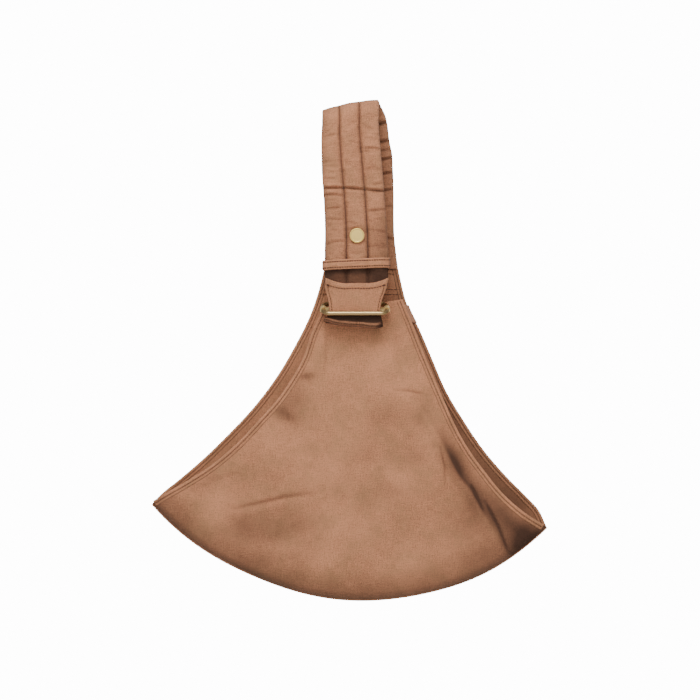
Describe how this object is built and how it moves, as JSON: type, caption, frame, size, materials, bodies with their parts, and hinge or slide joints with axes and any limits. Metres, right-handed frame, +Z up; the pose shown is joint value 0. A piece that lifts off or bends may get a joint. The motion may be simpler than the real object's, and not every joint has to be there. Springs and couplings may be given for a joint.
{
  "type": "baby sling",
  "caption": "One-shoulder baby carrying sling: a fan-shaped cotton pouch on a quilted shoulder strap with a slide buckle, strap keeper and button.",
  "frame": {"origin": "underside of the strap's crown, where it rests on the shoulder or hook, above the middle of the front half", "axes": "+X across the sling to the right as seen from the front, +Y from the front panel to the back panel, +Z up along the strap; the buckle and button face -Y"},
  "size_m": [0.402, 0.0474, 0.51],
  "materials": {
    "canvas": "matt plain-weave cotton canvas",
    "lining": "matt plain-weave cotton canvas, inner side",
    "wadding": "lofty polyester wadding",
    "brass": "pale polished gold tone",
    "label": "smooth woven tape"
  },
  "bodies": {
    "crown": {"strap_crown_cover": "canvas", "strap_crown_wadding": "wadding"},
    "front_strap": {"strap_front_cover": "canvas", "strap_front_wadding": "wadding", "button_cap": "brass", "button_post": "brass", "button_washer": "brass", "strap_turned_end": "canvas"},
    "back_strap": {"strap_back_cover": "canvas", "strap_back_wadding": "wadding", "strap_back_tab": "canvas", "back_neck_outer": "canvas", "back_neck_lining": "lining"},
    "back_panel": {"back_panel_outer": "canvas", "back_panel_lining": "lining", "seat_front_outer": "canvas", "seat_front_lining": "lining", "seat_seam_tape": "lining", "side_label": "label"},
    "front_panel": {"front_panel_outer": "canvas", "front_panel_lining": "lining", "front_chape": "canvas"},
    "buckle": {"buckle_frame": "brass"},
    "slider_bar": {"buckle_slider_bar": "brass"},
    "keeper": {"keeper_loop": "canvas"},
    "tail": {"strap_tail": "canvas"}
  },
  "joints": [
    {"name": "pouch_open", "type": "hinge", "parent": "crown", "child": "front_strap", "pos_m": [0, -0.0122, -0.016], "axis": [-1, 0, 0], "range_deg": [0, 12]},
    {"name": "back_strap_swing", "type": "hinge", "parent": "crown", "child": "back_strap", "pos_m": [0, 0.0122, -0.016], "axis": [1, 0, 0], "range_deg": [0, 7.5]},
    {"name": "back_panel_bend", "type": "hinge", "parent": "back_strap", "child": "back_panel", "pos_m": [0, 0.01005, -0.191], "axis": [-1, 0, 0], "range_deg": [0, 14.4]},
    {"name": "seat_bend", "type": "hinge", "parent": "back_panel", "child": "front_panel", "pos_m": [-0.207, -0.0065, -0.3937], "axis": [0.9984, 0, -0.0571], "range_deg": [0, 15.9]},
    {"name": "buckle_tilt", "type": "hinge", "parent": "front_strap", "child": "buckle", "pos_m": [0, -0.0065, -0.1896], "axis": [-1, 0, 0], "range_deg": [0, 6]},
    {"name": "slider_slide", "type": "slide", "parent": "buckle", "child": "slider_bar", "axis": [0, -0.9083, -0.4184], "range_m": [-0.002, 0.0015]},
    {"name": "keeper_slide", "type": "slide", "parent": "front_strap", "child": "keeper", "axis": [0, 0, 1], "range_m": [-0.012, 0.012]},
    {"name": "tail_lift", "type": "hinge", "parent": "front_strap", "child": "tail", "pos_m": [0, -0.02475, -0.1965], "axis": [1, 0, 0], "range_deg": [0, 45], "stiffness_Nm_per_rad": 0.005}
  ],
  "couplings": [
    {"joint": "back_strap_swing", "follows": "pouch_open", "ratio": 0.6162},
    {"joint": "back_panel_bend", "follows": "pouch_open", "ratio": 1.1893},
    {"joint": "seat_bend", "follows": "pouch_open", "ratio": 1.3115}
  ]
}
